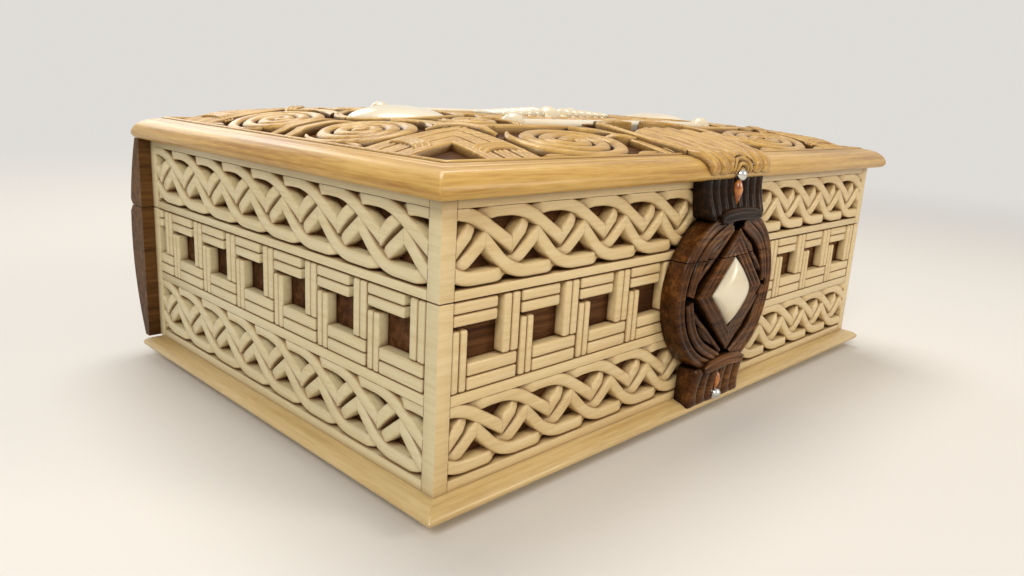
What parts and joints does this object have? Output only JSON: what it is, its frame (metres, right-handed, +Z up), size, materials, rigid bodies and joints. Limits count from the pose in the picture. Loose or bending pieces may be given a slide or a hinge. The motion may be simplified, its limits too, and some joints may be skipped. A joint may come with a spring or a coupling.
{
  "type": "keepsake box",
  "caption": "Carved wooden keepsake box in the form of a book, with braided and basket-woven panels, a rounded spine, a hinged lid and a carved clasp",
  "frame": {"origin": "centre of the bounding box in plan, on the flat rest face under the base cover", "axes": "+Z up, +X along the fore-edge to the right as seen from the clasp side, -Y towards the clasp, +Y towards the spine"},
  "size_m": [0.274, 0.2, 0.1093],
  "materials": {
    "maple": "satin oiled, honey coloured",
    "walnut": "satin, dark",
    "bone": "polished, ivory coloured",
    "lining_cloth": "short dark red pile",
    "brass": "satin",
    "amber": "polished",
    "bead_metal": "polished"
  },
  "bodies": {
    "base": {"base_board_back": "walnut", "base_board_front": "walnut", "base_board_left": "walnut", "base_board_right": "walnut", "base_braid_front": "maple", "base_braid_left": "maple", "base_braid_right": "maple", "base_cover": "maple", "base_floor_lining": "lining_cloth", "base_frame_front": "maple", "base_frame_left": "maple", "base_frame_right": "maple", "base_spine": "walnut", "base_wall_lining": "lining_cloth", "base_weave_front": "maple", "base_weave_left": "maple", "base_weave_right": "maple", "bone_diamond": "bone", "clasp_bead_lower": "bead_metal", "clasp_shield_lower": "walnut", "clasp_strap_lower": "walnut", "hinge_leaves_base": "brass", "hinge_pins": "brass"},
    "lid": {"clasp_bead_upper": "bead_metal", "clasp_drop": "amber", "clasp_shield_upper": "walnut", "clasp_strap_upper": "walnut", "hinge_leaves_lid": "brass", "lid_board_back": "walnut", "lid_board_front": "walnut", "lid_board_left": "walnut", "lid_board_right": "walnut", "lid_bone_bars": "bone", "lid_bone_domes": "bone", "lid_bone_ridge": "bone", "lid_braid_front": "maple", "lid_braid_left": "maple", "lid_braid_right": "maple", "lid_corner_squares": "maple", "lid_cover": "maple", "lid_frame_front": "maple", "lid_frame_left": "maple", "lid_frame_right": "maple", "lid_ground": "walnut", "lid_lining": "lining_cloth", "lid_roundels": "maple", "lid_spine": "walnut", "lid_strap": "maple", "lid_wall_lining": "lining_cloth"}
  },
  "joints": [
    {"name": "lid_hinge", "type": "hinge", "parent": "base", "child": "lid", "pos_m": [0, 0.0971, 0.06165], "axis": [-1, 0, 0], "range_deg": [0, 100]}
  ]
}
